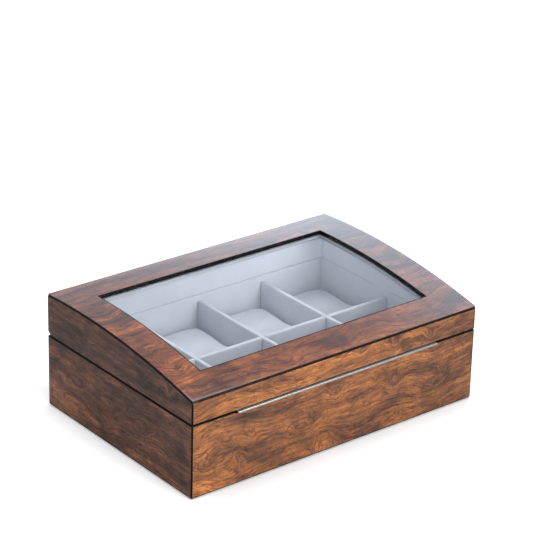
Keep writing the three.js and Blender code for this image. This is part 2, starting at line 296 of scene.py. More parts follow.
def burlGroup():
    # burl figure: the grain height is the warped Z plus the knots, and noise stretched along the grain is
    # read at that height; flow lines are where it crosses a half, rings follow the knots' own height
    group, start, end = newGroup("burlFigure", [
        ("Place", "vector", None), ("Knots", "value", 0.0)],
        [(label, "value") for label in ("Figure", "Lines", "Smudge", "Pores", "Grain")])
    place, knots = start.outputs["Place"], start.outputs["Knots"]
    shaken = noiseNode(group, place, 1 / 4.5, 2.0, 0.5).outputs["Color"]
    shake = vectorNode(group, "SUBTRACT", shaken, (0.5, 0.5, 0.5))
    combed = vectorNode(group, "ADD", place, scaleNode(group, shake, 0.6))
    eyes = addNode(group, "ShaderNodeTexVoronoi", {"Vector": place, "Scale": 1 / 30, "Smoothness": 0.3},
                   feature="SMOOTH_F1")
    nearEye = mathNode(group, "POWER", eyes.outputs["Distance"], 2.0)
    eyeBell = mathNode(group, "EXPONENT", times(group, nearEye, -38.0))
    knotty = mathNode(group, "MULTIPLY_ADD", eyeBell, 6.5, knots)
    parts = addNode(group, "ShaderNodeSeparateXYZ", {0: combed})
    height = mathNode(group, "ADD", parts.outputs["Z"], knotty)

    def streaks(length, width, detail, roughness):
        along = mathNode(group, "DIVIDE", parts.outputs["X"], length)
        side = mathNode(group, "DIVIDE", parts.outputs["Y"], length)
        across = mathNode(group, "DIVIDE", height, width)
        read = addNode(group, "ShaderNodeCombineXYZ", {0: along, 1: side, 2: across}).outputs[0]
        return noiseNode(group, read, 1.0, detail, roughness).outputs["Fac"]

    def ridge(value, sharpness):
        # one where the noise crosses a half, falling off on both sides
        away = mathNode(group, "ABSOLUTE", mathNode(group, "SUBTRACT", value, 0.5))
        return spread(group, away, 0.0, sharpness, 1.0, 0.0)

    broad = streaks(60.0, 7.5, 3.0, 0.5)
    middle = streaks(34.0, 2.3, 3.0, 0.6)
    fine = streaks(20.0, 0.75, 3.0, 0.65)
    pores = streaks(2.6, 0.4, 1.0, 0.5)
    cloud = noiseNode(group, place, 1 / 17, 3.0, 0.55).outputs["Fac"]
    patch = noiseNode(group, place, 1 / 11, 3.0, 0.55).outputs["Fac"]
    tone = mathNode(group, "MULTIPLY_ADD", broad, 0.9, times(group, middle, 0.5))
    tone = mathNode(group, "MULTIPLY_ADD", fine, 0.5, tone)
    tone = mathNode(group, "MULTIPLY_ADD", patch, 0.35, mathNode(group, "MULTIPLY_ADD", cloud, 0.5, tone))
    group.links.new(spread(group, tone, 1.1, 1.67), end.inputs["Figure"])
    longLines = times(group, ridge(streaks(60.0, 5.5, 2.0, 0.5), 0.045), spread(group, patch, 0.4, 0.52))
    shortLines = times(group, ridge(streaks(34.0, 3.0, 2.0, 0.5), 0.045), spread(group, patch, 0.56, 0.42))
    phase = mathNode(group, "MULTIPLY_ADD", knotty, 0.85, times(group, middle, 3.2))
    rings = spread(group, mathNode(group, "ABSOLUTE", mathNode(group, "SINE", phase)), 0.12, 0.6, 1.0, 0.0)
    near = spread(group, mathNode(group, "ABSOLUTE", knotty), 1.0, 3.0)
    rings = times(group, rings, near)
    swell = times(group, streaks(19.0, 8.0, 2.0, 0.45), 24.0)
    curls = spread(group, mathNode(group, "ABSOLUTE", mathNode(group, "SINE", swell)), 0.08, 0.5, 1.0, 0.0)
    curls = times(group, curls, spread(group, cloud, 0.47, 0.56))
    lines = longLines
    for more, weight in ((shortLines, 0.75), (curls, 0.75), (rings, 0.8)):
        lines = mathNode(group, "MAXIMUM", lines, times(group, more, weight))
    group.links.new(lines, end.inputs["Lines"])
    smudge = times(group, spread(group, streaks(10.0, 5.0, 4.0, 0.65), 0.51, 0.63),
                   spread(group, cloud, 0.58, 0.44))
    group.links.new(smudge, end.inputs["Smudge"])
    group.links.new(spread(group, pores, 0.6, 0.72), end.inputs["Pores"])
    group.links.new(fine, end.inputs["Grain"])
    return group


knotNodes = knotGroup()
warpNodes = warpGroup()
burlNodes = burlGroup()


def sumBells(tree, place, bells):
    # the knots or patches of one leaf, added up
    total = 0.0
    for centre, size, lift in bells:
        total = useGroup(tree, knotNodes, {
            "Place": place, "Centre": centre, "Size": size, "Lift": lift, "Sum": total}).outputs["Sum"]
    return total


def makeVeneer(name, look):
    # lacquered burl: ramp over the figure, grey smudges, dark flow lines and pores under a clear coat
    material, tree, shader, place = newMaterial(
        name, (0.3, 0.12, 0.05), 0.32, **{
            "Coat Weight": 1.0, "Coat Roughness": 0.06, "Coat IOR": 1.5, "Specular IOR Level": look["gloss"]})
    warped = useGroup(tree, warpNodes, {
        "Place": place, "Shift": look["shift"], "Wander": look["wander"], "Curl": look["curl"]}).outputs[0]
    turn = [radians(angle) for angle in look["turn"]]
    turned = addNode(tree, "ShaderNodeMapping", {
        "Vector": warped, "Location": look["shift"], "Rotation": turn}).outputs[0]
    burl = useGroup(tree, burlNodes, {"Place": turned, "Knots": sumBells(tree, warped, look["knots"])})
    figure = mathNode(tree, "ADD", burl.outputs["Figure"], sumBells(tree, place, look["patches"]))
    colour = rampNode(tree, figure, look["ramp"])
    for mask, amount, tone in (("Smudge", "smudge", "smudgeTone"), ("Lines", "lines", "lineTone"),
                               ("Pores", "pores", "lineTone")):
        share = times(tree, burl.outputs[mask], look[amount])
        colour = mixColours(tree, share, colour, (*look[tone], 1))
    tree.links.new(colour, shader.inputs["Base Color"])
    tree.links.new(spread(tree, burl.outputs["Grain"], 0.3, 0.7, 0.24, 0.4), shader.inputs["Roughness"])
    return material


frontKnots = [
    ((-141.0, -102.5, 25.0), (9.0, 60.0, 8.0), 9.0),
    ((-104.0, -102.5, 24.0), (8.0, 60.0, 6.0), -8.0),
    ((-40.0, -102.5, 31.0), (22.0, 60.0, 8.0), 10.0),
    ((0.0, -102.5, 50.0), (8.0, 60.0, 9.0), 9.0),
    ((-14.0, -102.5, 14.0), (12.0, 60.0, 7.0), -8.0),
    ((64.0, -102.5, 44.0), (8.0, 60.0, 7.0), 9.0),
    ((61.0, -102.5, 79.0), (9.0, 60.0, 6.0), 8.0),
    ((25.0, -102.5, 82.0), (6.0, 60.0, 5.0), 7.0),
    ((112.0, -102.5, 30.0), (24.0, 60.0, 10.0), 8.0),
]
frontTonesAndGlint = [
    # painted highlight: this first patch, brighter at the lower left corner, stands in for a glint; the
    # others are tone of the leaf
    ((-144.0, -102.5, 8.0), (14.0, 60.0, 9.0), 0.4),
    ((-26.0, -102.5, 80.0), (52.0, 60.0, 14.0), 0.4),
    ((-124.0, -102.5, 50.0), (30.0, 60.0, 34.0), 0.16),
    ((-90.0, -102.5, 58.0), (26.0, 60.0, 8.0), -0.4),
    ((135.0, -102.5, 60.0), (40.0, 60.0, 30.0), -0.2),
    ((30.0, -102.5, 14.0), (40.0, 60.0, 10.0), -0.12),
    ((-35.0, -102.5, 28.0), (20.0, 60.0, 8.0), 0.2),
]
sideKnots = [
    ((-152.5, -38.0, 31.0), (60.0, 8.0, 7.0), 9.0),
    ((-152.5, 60.0, 40.0), (60.0, 16.0, 8.0), 7.0),
]
sidePatches = [
    ((-152.5, 88.0, 14.0), (60.0, 45.0, 24.0), 0.7),
    ((-152.5, -20.0, 10.0), (60.0, 70.0, 20.0), 0.25),
    ((-152.5, 57.0, 84.0), (60.0, 14.0, 12.0), -0.25),
    ((-152.5, -40.0, 82.0), (60.0, 18.0, 10.0), -0.25),
]
topKnots = [
    ((-143.0, -41.0, 90.0), (8.0, 13.0, 60.0), 6.0),
    ((-133.0, -62.0, 90.0), (8.0, 10.0, 60.0), 6.0),
    ((-128.0, -92.0, 90.0), (12.0, 8.0, 60.0), 5.5),
    ((-50.0, -92.0, 90.0), (16.0, 8.0, 60.0), 6.0),
    ((-88.0, -84.0, 90.0), (14.0, 8.0, 60.0), -5.0),
    ((12.0, -90.0, 90.0), (14.0, 9.0, 60.0), 5.5),
    ((92.0, -86.0, 92.0), (24.0, 9.0, 60.0), 6.0),
    ((138.0, 0.0, 100.0), (11.0, 18.0, 60.0), 6.0),
    ((-140.0, 40.0, 103.0), (10.0, 16.0, 60.0), 5.5),
]
topPatches = [
    ((-134.0, -52.0, 90.0), (20.0, 26.0, 60.0), 0.3),
    ((-60.0, -88.0, 90.0), (34.0, 16.0, 60.0), 0.2),
    ((-117.0, -88.0, 90.0), (9.0, 9.0, 60.0), -0.35),
    ((0.0, -88.0, 90.0), (16.0, 9.0, 60.0), -0.3),
    ((40.0, -90.0, 90.0), (60.0, 18.0, 60.0), 0.12),
    ((150.0, 30.0, 100.0), (45.0, 110.0, 60.0), -0.35),
    ((-20.0, 95.0, 105.0), (120.0, 30.0, 60.0), -0.12),
]
frontRamp = [
    (0.0, (0.09, 0.035, 0.022)), (0.25, (0.19, 0.075, 0.034)), (0.5, (0.32, 0.118, 0.042)),
    (0.75, (0.46, 0.165, 0.05)), (1.0, (0.62, 0.22, 0.056)), (1.25, (0.74, 0.27, 0.07)),
]
# side leaf, darker than the front: partly its own darker leaf, partly painted shade matching the shaded left
# side
shadedSideRamp = [
    (0.0, (0.035, 0.015, 0.011)), (0.3, (0.11, 0.046, 0.028)), (0.6, (0.22, 0.089, 0.047)),
    (1.0, (0.38, 0.147, 0.07)), (1.4, (0.54, 0.21, 0.098)),
]
# top leaf darkened to offset the strong light from above: painted shade
shadedTopRamp = [
    (0.0, (0.045, 0.016, 0.013)), (0.25, (0.115, 0.037, 0.021)), (0.5, (0.215, 0.065, 0.027)),
    (0.75, (0.33, 0.099, 0.033)), (1.0, (0.47, 0.141, 0.041)), (1.3, (0.6, 0.187, 0.052)),
]
commonLook = {"gloss": 0.5, "turn": (0, 0, 0), "wander": 24.0, "curl": 4.4,
              "smudge": 0.45, "lines": 0.8, "pores": 0.3,
              "smudgeTone": (0.1, 0.055, 0.042), "lineTone": (0.045, 0.018, 0.015)}
veneerFront = makeVeneer("burlVeneerFront", {
    **commonLook, "shift": (37.0, 11.0, 5.0),
    "knots": frontKnots, "patches": frontTonesAndGlint, "ramp": frontRamp})
shadedVeneerSide = makeVeneer("burlVeneerSidesShaded", {
    **commonLook, "shift": (71.0, 31.0, 25.0), "knots": sideKnots, "patches": sidePatches,
    "ramp": shadedSideRamp, "smudge": 0.5, "lines": 0.85, "wander": 17.0, "curl": 3.0})
shadedVeneerTop = makeVeneer("burlVeneerTopShaded", {
    **commonLook, "shift": (81.0, 23.0, 64.0), "turn": (90, 0, 0), "wander": 26.0, "knots": topKnots,
    "patches": topPatches, "ramp": shadedTopRamp})


def makeBlackLacquer():
    # polished black edge, with a little wear read from slow noise
    material, tree, shader, place = newMaterial(
        "blackLacquer", (0.006, 0.005, 0.006), 0.2, **{"Specular IOR Level": 0.2})
    speck = noiseNode(tree, place, 1 / 4, 3.0).outputs["Fac"]
    tree.links.new(spread(tree, speck, 0.3, 0.7, 0.18, 0.3), shader.inputs["Roughness"])
    tree.links.new(rampNode(tree, speck, [(0.4, (0.006, 0.005, 0.006)), (0.7, (0.012, 0.009, 0.009))]),
                   shader.inputs["Base Color"])
    return material


def velvetGroup():
    # short pile: soft patches of painted sheen, lighter and darker where the pile leans, and fine fuzz for
    # the bump
    group, start, end = newGroup("velvetPile", [
        ("Place", "vector", None), ("Tone", "colour", (0.5, 0.5, 0.5, 1)), ("Patch", "value", 0.1)],
        [("Colour", "colour"), ("Pile", "value")])
    place = start.outputs["Place"]
    patches = noiseNode(group, place, 1 / 22, 3.0, 0.5, 0.4).outputs["Fac"]
    fuzz = noiseNode(group, place, 2.6, 2.0, 0.6).outputs["Fac"]
    pile = noiseNode(group, place, 0.55, 3.0, 0.65).outputs["Fac"]
    # painted sheen: these patches lighten and darken the colour where leaning pile would catch the light
    sheenLeaning = spread(group, patches, 0.3, 0.7, -1.0, 1.0)
    lean = mathNode(group, "MULTIPLY_ADD", sheenLeaning, start.outputs["Patch"], 1.0)
    grey = times(group, lean, spread(group, fuzz, 0.3, 0.7, 0.92, 1.08))
    group.links.new(scaleNode(group, start.outputs["Tone"], grey), end.inputs["Colour"])
    group.links.new(mathNode(group, "MULTIPLY_ADD", pile, 0.5, fuzz), end.inputs["Pile"])
    return group


velvetNodes = velvetGroup()


def makeVelvet(name, tone, patch):
    material, tree, shader, place = newMaterial(name, tone, 0.95, **{
        "Sheen Weight": 0.35, "Sheen Roughness": 0.4, "Sheen Tint": (0.85, 0.9, 1.0, 1),
        "Specular IOR Level": 0.1})
    pile = useGroup(tree, velvetNodes, {"Place": place, "Tone": (*tone, 1), "Patch": patch})
    tree.links.new(pile.outputs["Colour"], shader.inputs["Base Color"])
    bumpInto(tree, shader, pile.outputs["Pile"], 0.35, 0.25)
    return material


def makeGlass():
    # clear glass that lets the lamps' light through to the linings
    material, tree, shader, place = newMaterial("paneGlass", (0.97, 0.985, 0.99), 0.0, **{
        "Transmission Weight": 1.0, "IOR": 1.5})
    lampRay = addNode(tree, "ShaderNodeLightPath").outputs["Is Shadow Ray"]
    clear = addNode(tree, "ShaderNodeBsdfTransparent", {"Color": (0.9, 0.93, 0.94, 1)}).outputs[0]
    mix = addNode(tree, "ShaderNodeMixShader", {0: lampRay, 1: shader.outputs[0], 2: clear})
    tree.links.new(mix.outputs[0], tree.nodes["Material Output"].inputs["Surface"])
    return material


def makeNickel(name, along, tone, rough):
    # brushed metal: noise stretched along the brushing, in roughness and bump
    material, tree, shader, place = newMaterial(name, tone, 0.3, **{"Metallic": 1.0})
    stretch = addNode(tree, "ShaderNodeMapping", {"Vector": place, "Scale": along}).outputs[0]
    lines = noiseNode(tree, stretch, 6.0, 3.0, 0.6).outputs["Fac"]
    tree.links.new(spread(tree, lines, 0.3, 0.7, rough - 0.06, rough + 0.08), shader.inputs["Roughness"])
    bumpInto(tree, shader, lines, 0.1, 0.01)
    return material


def makeFelt():
    material, tree, shader, place = newMaterial(
        "baseFelt", (0.018, 0.018, 0.02), 1.0, **{"Sheen Weight": 0.3})
    fibres = noiseNode(tree, place, 1.4, 4.0, 0.7, 1.5).outputs["Fac"]
    tree.links.new(rampNode(tree, fibres, [(0.3, (0.01, 0.01, 0.012)), (0.7, (0.035, 0.035, 0.04))]),
                   shader.inputs["Base Color"])
    bumpInto(tree, shader, fibres, 0.6, 0.4)
    return material


def makeBoard():
    material, tree, shader, place = newMaterial("plainBoard", (0.3, 0.19, 0.1), 0.8)
    chips = noiseNode(tree, place, 1.1, 4.0, 0.65).outputs["Fac"]
    tree.links.new(rampNode(tree, chips, [(0.3, (0.2, 0.12, 0.06)), (0.7, (0.36, 0.24, 0.14))]),
                   shader.inputs["Base Color"])
    bumpInto(tree, shader, chips, 0.3, 0.2)
    return material


blackLacquer = makeBlackLacquer()
liningVelvet = makeVelvet("liningVelvet", (0.67, 0.675, 0.735), 0.04)
# the pillows' velvet is a shade darker than the linings' to offset the light on their tops: painted shade
shadedPillowVelvet = makeVelvet("shadedPillowVelvet", (0.64, 0.65, 0.71), 0.05)
paneGlass = makeGlass()
stripNickel = makeNickel("stripNickel", (0.02, 1, 1), (0.8, 0.79, 0.76), 0.48)
hingeNickel = makeNickel("hingeNickel", (0.05, 1, 1), (0.6, 0.58, 0.54), 0.3)
baseFelt = makeFelt()
plainBoard = makeBoard()
print("materials ready")


edging = {"top": 1.9, "topRound": 0.8, "lip": 0.45}
boardLook = {"corner": 1.1, "foot": 1.4, "rim": 1.0, "lidFoot": 1.2, "arcSteps": 5, "stations": 61}
lidBevel = {"depth": 4.5, "height": 4.0}
baseFoot = sideLow[2]


def boardSection(highEdge):
    # closed loop from the inner foot round the outer face to the inner top: depth into the wall,
    # end it hangs on (0 foot, 1 top), offset from that end, and the slot of the strip that follows
    steps = boardLook["arcSteps"]
    footIn, footUp = quarterArc(boardLook["foot"], steps)
    depth, end, offset, slot = [wall], [0], [0.0], [1]
    depth += list(footIn)
    end += [0] * steps
    offset += list(footUp)
    slot += [1] * (steps - 1) + [0]
    topIn, topDown = quarterArc(highEdge, steps if highEdge else 1)
    depth += [*topIn[::-1], wall]
    end += [1] * (len(topIn) + 1)
    offset += [*-topDown[::-1], 0.0]
    slot += [1] * (len(topIn) + 1)
    return np.array(depth), np.array(end), np.array(offset), np.array(slot)


def mitredBoard(name, side, lowAt, highAt, highEdge, footRound):
    # section carried along one wall; the outer face turns through 45 degrees at each end to the mitre
    depth, end, offset, slot = boardSection(highEdge)
    if footRound != boardLook["foot"]:
        offset = np.where(end == 0, offset * footRound / boardLook["foot"], offset)
        depth = np.where((end == 0) & (depth < wall), depth * footRound / boardLook["foot"], depth)
    across = side in ("front", "back")
    half, face = (halfWidth, halfDepth) if across else (halfDepth, halfWidth)
    radius = boardLook["corner"]
    turns = np.linspace(0, pi / 4, 4)[1:]
    run = np.linspace(-1, 1, boardLook["stations"])
    run = np.concatenate([[-1] * 3, run, [1] * 3])
    angle = np.concatenate([-turns[::-1], np.zeros(boardLook["stations"]), turns])
    bend = np.maximum(radius - depth, 0)[:, None]
    inner = np.maximum(depth, radius)[:, None]
    along = (half - inner) * run[None, :] + bend * np.sin(angle)[None, :]
    inward = inner - bend * np.cos(angle)[None, :]
    sign = 1 if side in ("back", "right") else -1
    out = sign * (face - inward)
    x, y = (along, out) if across else (out, along)
    low, high = lowAt(y), highAt(y)
    z = np.where(end[:, None] == 0, low, high) + offset[:, None]
    rows, cols = z.shape
    points = np.stack([x, y, z], axis=-1).reshape(-1, 3)
    quads = gridFaces(rows, cols, closeRows=True)
    station = np.tile(np.arange(cols - 1), rows)
    slots = np.repeat(slot, cols - 1)
    slots = np.where((station < 3) | (station >= cols - 4), 1, slots)
    caps = [list(range(0, rows * cols, cols)), list(range(cols - 1, rows * cols, cols))]
    faces = quads.tolist() + caps
    slots = np.concatenate([slots, [1, 1]])
    leaf = veneerFront if side == "front" else shadedVeneerSide
    return addMesh(name, points, faces, [leaf, blackLacquer], slots, sharp=30)


def blockPart(low, high):
    # corners and faces of a box between two corners
    corners = np.array([[x, y, z] for x in (low[0], high[0])
                        for y in (low[1], high[1]) for z in (low[2], high[2])])
    return corners, [[0, 1, 3, 2], [4, 6, 7, 5], [0, 4, 5, 1], [2, 3, 7, 6], [0, 2, 6, 4], [1, 5, 7, 3]]


def cutFrom(piece, boxes):
    # take boxes out of a piece; the new faces are black lacquer
    for low, high in boxes:
        modifier = piece.modifiers.new("cut", "BOOLEAN")
        modifier.object = addMesh("cutter", *blockPart(low, high), [blackLacquer], sharp=30)
        modifier.operation = "DIFFERENCE"
        modifier.solver = "EXACT"
        modifier.material_mode = "TRANSFER"
    applyModifiers(piece)
    piece.data.set_sharp_from_angle(angle=radians(30))
    for cutterObject in [o for o in bpy.data.objects if o.name.startswith("cutter")]:
        bpy.data.objects.remove(cutterObject)
    return piece


def lidLow(y):
    # the lid's rim, rising over the clearance bevel at the back
    share = (y - halfDepth + lidBevel["depth"]) / lidBevel["depth"]
    return lidRim + lidBevel["height"] * np.clip(share, 0, 1)


def lidHigh(y):
    return archHeight(y, edging["top"])


hingeBoxes = [nodeBox(f"hinge_{name}_base_leaf") for name in ("left", "right")]
pinBoxes = [nodeBox(f"hinge_{name}_pin") for name in ("left", "right")]
hingeLook = {"barrel": 2.75, "leaf": 1.5, "knuckles": 5, "gap": 0.3, "soft": 0.25, "rim": 0.15, "room": 0.25}
cutPast = 3.0


def hingeCuts(up):
    # mortises for the leaf and for the barrel of each hinge, open to the back and to the rim
    boxes = []
    room, barrelOut = hingeLook["room"], hingeLook["barrel"] + hingeLook["room"]
    for hingeBox, (pinLow, pinHigh) in zip(hingeBoxes, pinBoxes):
        x0, x1 = pinLow[0] - room, pinHigh[0] + room
        leafFace = parting + up * (hingeLook["rim"] + hingeLook["leaf"] + room)
        barrelFace = parting + up * barrelOut
        openFace = parting - up * cutPast
        axisY = (pinLow[1] + pinHigh[1]) / 2
        for y0, face in ((hingeBox[0][1] - room, leafFace), (axisY - barrelOut, barrelFace)):
            boxes.append(((x0, y0, min(openFace, face)), (x1, halfDepth + cutPast, max(openFace, face))))
    return boxes


stripLow, stripHigh = nodeBox("lift_strip")
notchRoom = 2.0
stripNotch = [((stripLow[0] - notchRoom, -halfDepth - cutPast, stripLow[2] - fit["gap"]),
               (stripHigh[0] + notchRoom, stripHigh[1] + fit["gap"], baseRim + notchRoom))]

for side in ("front", "back", "left", "right"):
    basePiece = mitredBoard(
        f"baseBoard_{side}", side, lambda y: np.full_like(y, baseFoot), lambda y: np.full_like(y, baseRim),
        boardLook["rim"], boardLook["foot"])
    lidPiece = mitredBoard(f"lidBoard_{side}", side, lidLow, lidHigh, 0, boardLook["lidFoot"])
    if side == "back":
        cutFrom(basePiece, hingeCuts(-1))
        cutFrom(lidPiece, hingeCuts(1))
    if side == "front":
        cutFrom(basePiece, stripNotch)
    finish(basePiece, "base", "veneer", f"base_{side}_panel")
    finish(lidPiece, "lid", "veneer", f"lid_{side}_panel")
print("wooden boards ready")


topLook = {"acrossSteps": 9, "sideStations": 49, "cornerSteps": 5}


def ringLoop(halfX, halfY, radius):
    # rectangle with rounded corners as one closed loop, counter-clockwise from the right side
    turn = np.linspace(0, pi / 2, topLook["cornerSteps"])
    run = np.linspace(-1, 1, topLook["sideStations"])[1:-1]
    loop = []
    for quarter in range(4):
        angle = quarter * pi / 2
        side, length = ((halfX, halfY), (halfY, halfX))[quarter % 2]
        local = np.concatenate([
            np.stack([np.full_like(run, side), run * (length - radius)], axis=1),
            np.stack([side - radius + radius * np.cos(turn),
                      length - radius + radius * np.sin(turn)], axis=1)])
        cosine, sine = round(cos(angle)), round(sin(angle))
        loop.append(local @ np.array([[cosine, sine], [-sine, cosine]]))
    return np.concatenate(loop)


def ringSurface(name, section, outer, inner, radius, materials):
    # section points (share of the way from the outer to the inner rectangle, depth below the arch)
    # carried round the window
    rows = []
    for share, below, _ in section:
        halfX = outer[0] + (inner[0] - outer[0]) * share
        halfY = outer[1] + (inner[1] - outer[1]) * share
        loop = ringLoop(halfX, halfY, max(radius - share * (outer[0] - inner[0]), 0.0))
        rows.append(np.column_stack([loop, archHeight(loop[:, 1], below)]))
    grid = np.array(rows)
    quads = gridFaces(grid.shape[0], grid.shape[1], closeRows=True, closeCols=True)
    slots = np.repeat([slot for _, _, slot in section], grid.shape[1])
    return addMesh(name, grid.reshape(-1, 3), quads.tolist(), materials, slots, sharp=25)


def topSection():
    # black edging up the outside and over a small round, veneer across, black lip round the window
    rail = halfWidth - window["halfX"]
    roundIn, roundDown = quarterArc(edging["topRound"], 5)
    lipIn, lipDown = quarterArc(edging["lip"], 4)
    section = [(0.0, edging["top"], 1)] + [(d / rail, e, 1) for d, e in zip(roundIn, roundDown[::-1])][:-1]
    first, last = edging["topRound"] / rail, 1 - (edging["lip"] + 0.4) / rail
    across = np.linspace(first, last, topLook["acrossSteps"] + 1)
    section += [(share, 0.0, 0) for share in across[:-1]] + [(last, 0.0, 1)]
    section += [(1 - d / rail, e, 1) for d, e in zip(lipIn[::-1], lipDown)]
    rebate = 1 - window["rebate"] / rail
    inner = (wall + 0.02) / rail
    under = edging["top"] + 0.01
    section += [(1.0, window["lip"], 1), (rebate, window["lip"], 1), (rebate, window["board"], 1)]
    return section + [(inner, window["board"], 1), (inner, under, 1), (0.3 / rail, under, 1)]


topFrame = ringSurface("topFrame", topSection(), (halfWidth, halfDepth), (window["halfX"], window["halfY"]),
                       boardLook["corner"], [shadedVeneerTop, blackLacquer])
finish(topFrame, "lid", "veneer", "lid_top_frame")


def archSlab(name, halfX, y0, y1, upper, lower, material, stations=49):
    # band between two depths below the arch, closed all round
    ys = np.linspace(y0, y1, stations)
    loopY = np.concatenate([ys, ys[::-1]])
    loopZ = np.concatenate([archHeight(ys, upper), archHeight(ys[::-1], lower)])
    points = np.concatenate([
        np.column_stack([np.full_like(loopY, x), loopY, loopZ]) for x in (-halfX, halfX)])
    count = 2 * stations
    sides = gridFaces(2, count, closeCols=True).tolist()
    ends = []
    for i in range(stations - 1):
        quad = [i, i + 1, count - 2 - i, count - 1 - i]
        ends += [quad, [index + count for index in quad]]
    return addMesh(name, points, sides + ends, [material], sharp=30)


glassPane = archSlab("glassPane", glassHigh[0], glassLow[1], glassHigh[1],
                     glassDepth, glassDepth + fit["glassThick"], paneGlass)
finish(glassPane, "lid", "glass", "glass_pane")

ceilLook = {"setback": 1.0, "side": 0.2, "soft": 0.4, "shares": (0.0, 0.3, 0.6, 0.97)}
ceilInner = (window["halfX"] + ceilLook["setback"], window["halfY"] + ceilLook["setback"])
ceilOuter = (insideX - ceilLook["side"], insideY - ceilLook["side"])
ceilSection = [(share, ceilDepth, 0) for share in ceilLook["shares"]]
ceilSection += [(1.0, ceilDepth + ceilLook["soft"], 0), (1.0, ceilUnder - ceilLook["soft"], 0)]
ceilSection += [(share, ceilUnder, 0) for share in reversed(ceilLook["shares"])]
ceilLining = ringSurface("ceilingLining", ceilSection, ceilOuter, ceilInner, 0.0, [liningVelvet])
finish(ceilLining, "lid", "velvet", "lid_lining_ceiling")


def outlinePlate(name, outline, axis, start, stop, material, sharp=30.0):
    # outline in the plane across the axis, carried along the axis from start to stop
    outline = np.asarray(outline, float)
    count = len(outline)
    others = [i for i in range(3) if i != axis]
    points = np.zeros((2 * count, 3))
    for k, place in enumerate((start, stop)):
        points[k * count:(k + 1) * count, axis] = place
        points[k * count:(k + 1) * count, others] = outline
    faces = gridFaces(2, count, closeCols=True).tolist()
    faces += [list(range(count)), list(range(count, 2 * count))]
    return addMesh(name, points, faces, [material], sharp=sharp)


def boxPlate(name, body, slot, node, axis, material, soft, segments):
    # board over the whole box of a node, drawn across an axis, with softened edges
    low, high = nodeBox(node)
    a, b = (i for i in range(3) if i != axis)
    outline = [(low[a], low[b]), (high[a], low[b]), (high[a], high[b]), (low[a], high[b])]
    piece = outlinePlate(name, outline, axis, low[axis], high[axis], material)
    addBevel(piece, soft, segments)
    return finish(piece, body, slot, node)


liningLook = {"soft": 0.7, "stations": 25, "topGap": 0.05}


def lidLining(name, node, axis, topBelow):
    # velvet-covered board whose upper edge stays this far below the arch
    low, high = nodeBox(node)
    if axis == 0:
        ys = np.linspace(high[1], low[1], liningLook["stations"])
        outline = [(low[1], low[2]), (high[1], low[2])] + list(zip(ys, archHeight(ys, topBelow)))
    else:
        top = float(min(archHeight(low[1], topBelow), archHeight(high[1], topBelow)))
        outline = [(low[0], low[2]), (high[0], low[2]), (high[0], top), (low[0], top)]
    piece = outlinePlate(name, outline, axis, low[axis], high[axis], liningVelvet)
    addBevel(piece, liningLook["soft"], 3)
    finish(piece, "lid", "velvet", node)


for side, axis in (("front", 1), ("back", 1), ("left", 0), ("right", 0)):
    boxPlate(f"baseLining_{side}", "base", "velvet", f"base_lining_{side}", axis, liningVelvet,
             liningLook["soft"], 3)
    lidLining(f"lidLining_{side}", f"lid_lining_{side}", axis, ceilUnder + liningLook["topGap"])

boxPlate("liningFloor", "base", "velvet", "base_lining_floor", 2, liningVelvet, 0.5, 2)

dividerLook = {"soft": 1.3, "lap": 0.08, "lapRise": 0.1}
longLow, longHigh = nodeBox("long_divider")
crossBoxes = [nodeBox(f"cross_divider_{i}") for i in (1, 2, 3)]
lapHeight = (longLow[2] + longHigh[2]) / 2
longOutline = [(longLow[0], longLow[2]), (longHigh[0], longLow[2]), (longHigh[0], longHigh[2])]
for low, high in reversed(crossBoxes):
    left, right = low[0] - dividerLook["lap"], high[0] + dividerLook["lap"]
    longOutline += [(right, longHigh[2]), (right, lapHeight), (left, lapHeight), (left, longHigh[2])]
longOutline.append((longLow[0], longHigh[2]))
longDivider = outlinePlate("longDivider", longOutline, 1, longLow[1], longHigh[1], liningVelvet)
addBevel(longDivider, dividerLook["soft"], 4)
finish(longDivider, "base", "velvet", "long_divider")
for i, (low, high) in enumerate(crossBoxes):
    front, back = longLow[1] - dividerLook["lap"], longHigh[1] + dividerLook["lap"]
    lap = lapHeight + dividerLook["lapRise"]
    outline = [(low[1], low[2]), (front, low[2]), (front, lap), (back, lap), (back, low[2]),
               (high[1], low[2]), (high[1], high[2]), (low[1], high[2])]
    cross = outlinePlate(f"crossDivider_{i + 1}", outline, 0, low[0], high[0], liningVelvet)
    addBevel(cross, dividerLook["soft"], 4)
    finish(cross, "base", "velvet", f"cross_divider_{i + 1}")
print("linings and dividers ready")


pillowLook = {"shrink": 1.2, "crown": 2.2, "voxel": 4.5, "pressure": 4.0, "frames": 20, "cap": 5.0,
              "corner": 11.0, "shoulder": 6.0, "rings": 9, "cornerSteps": 7, "spare": 0.3}
clothLook = {"quality": 5, "mass": 0.15, "tension": 8, "compression": 8, "bending": 0.3}


